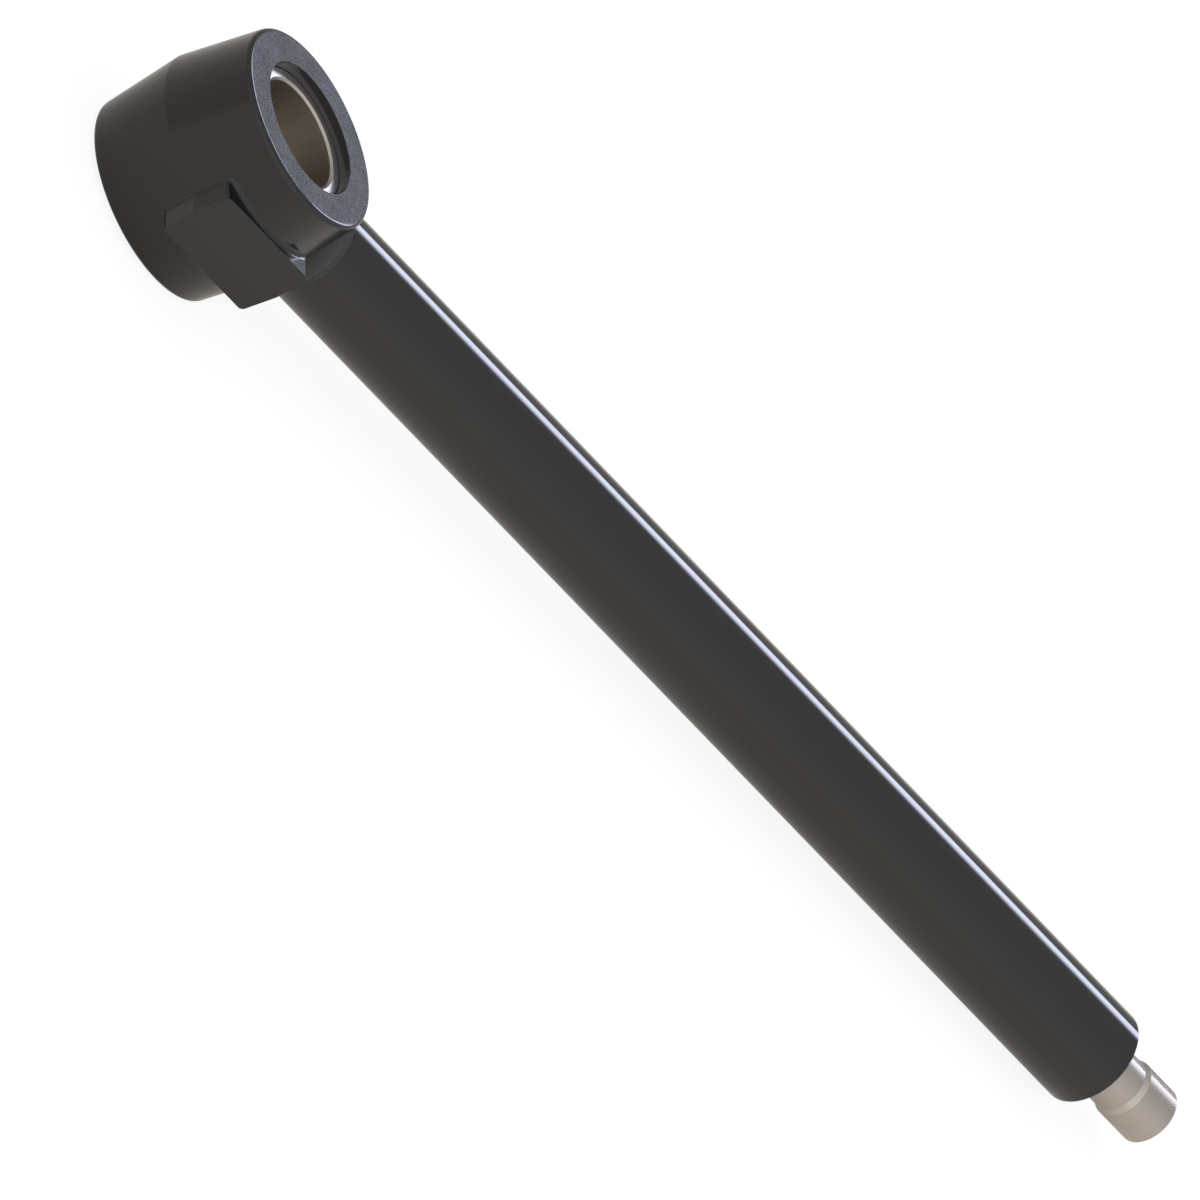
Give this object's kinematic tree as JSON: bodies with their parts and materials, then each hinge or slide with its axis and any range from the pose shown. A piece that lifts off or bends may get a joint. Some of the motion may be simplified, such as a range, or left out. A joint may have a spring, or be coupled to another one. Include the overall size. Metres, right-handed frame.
{
  "type": "hydraulic cylinder piston rod with eye",
  "caption": "Round piston rod with a drafted forged eye and pressed-in plain bush at one end, and a shouldered, stepped spigot for the piston at the other.",
  "frame": {"origin": "centre of the eye's bore, half way between the two flat faces of the eye", "axes": "+X along the rod from the eye to the spigot, +Z along the bore of the eye, -Y towards the block on the side of the eye"},
  "size_m": [0.6297, 0.0843, 0.0656],
  "materials": {
    "rod_steel": "gloss",
    "eye_forging": "satin",
    "bush_steel": "satin"
  },
  "bodies": {
    "root": {"piston_rod": "rod_steel", "rod_eye": "eye_forging", "eye_bush": "bush_steel"}
  },
  "joints": []
}
